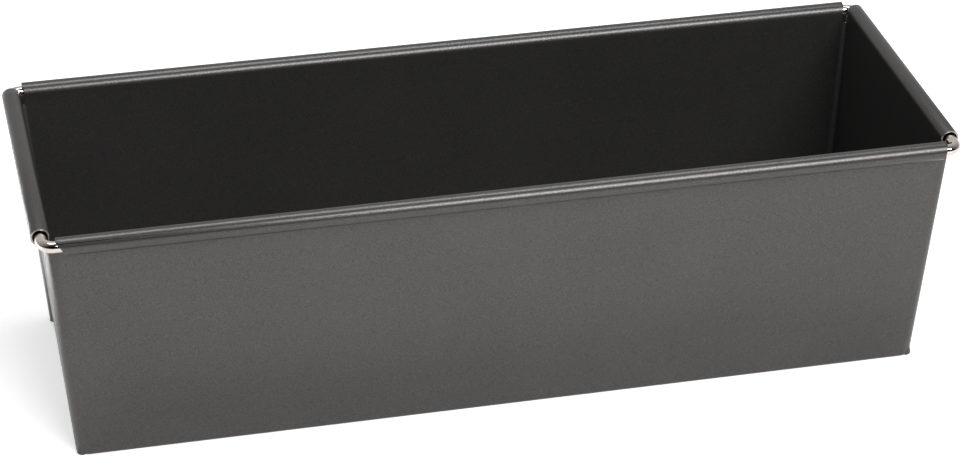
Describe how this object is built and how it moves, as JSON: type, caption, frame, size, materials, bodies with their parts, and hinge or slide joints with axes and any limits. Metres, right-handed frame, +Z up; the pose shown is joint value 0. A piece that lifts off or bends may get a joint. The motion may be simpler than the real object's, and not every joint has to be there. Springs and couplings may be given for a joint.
{
  "type": "loaf pan",
  "caption": "Open-topped long loaf pan folded from one coated steel sheet, with tapering walls, flat folded ends and its top edges rolled round a bright rim wire that shows at the corners.",
  "frame": {"origin": "centre of the base's underside, on the surface it stands on", "axes": "+X along the pan's length, +Y from the front side wall to the back one, +Z up"},
  "size_m": [0.3, 0.112, 0.0855],
  "materials": {
    "coated_steel": "satin dark grey baked-on non-stick coating",
    "plated_wire": "bright plated steel wire"
  },
  "bodies": {
    "root": {"folded_sheet": "coated_steel", "rim_wire": "plated_wire"}
  },
  "joints": []
}
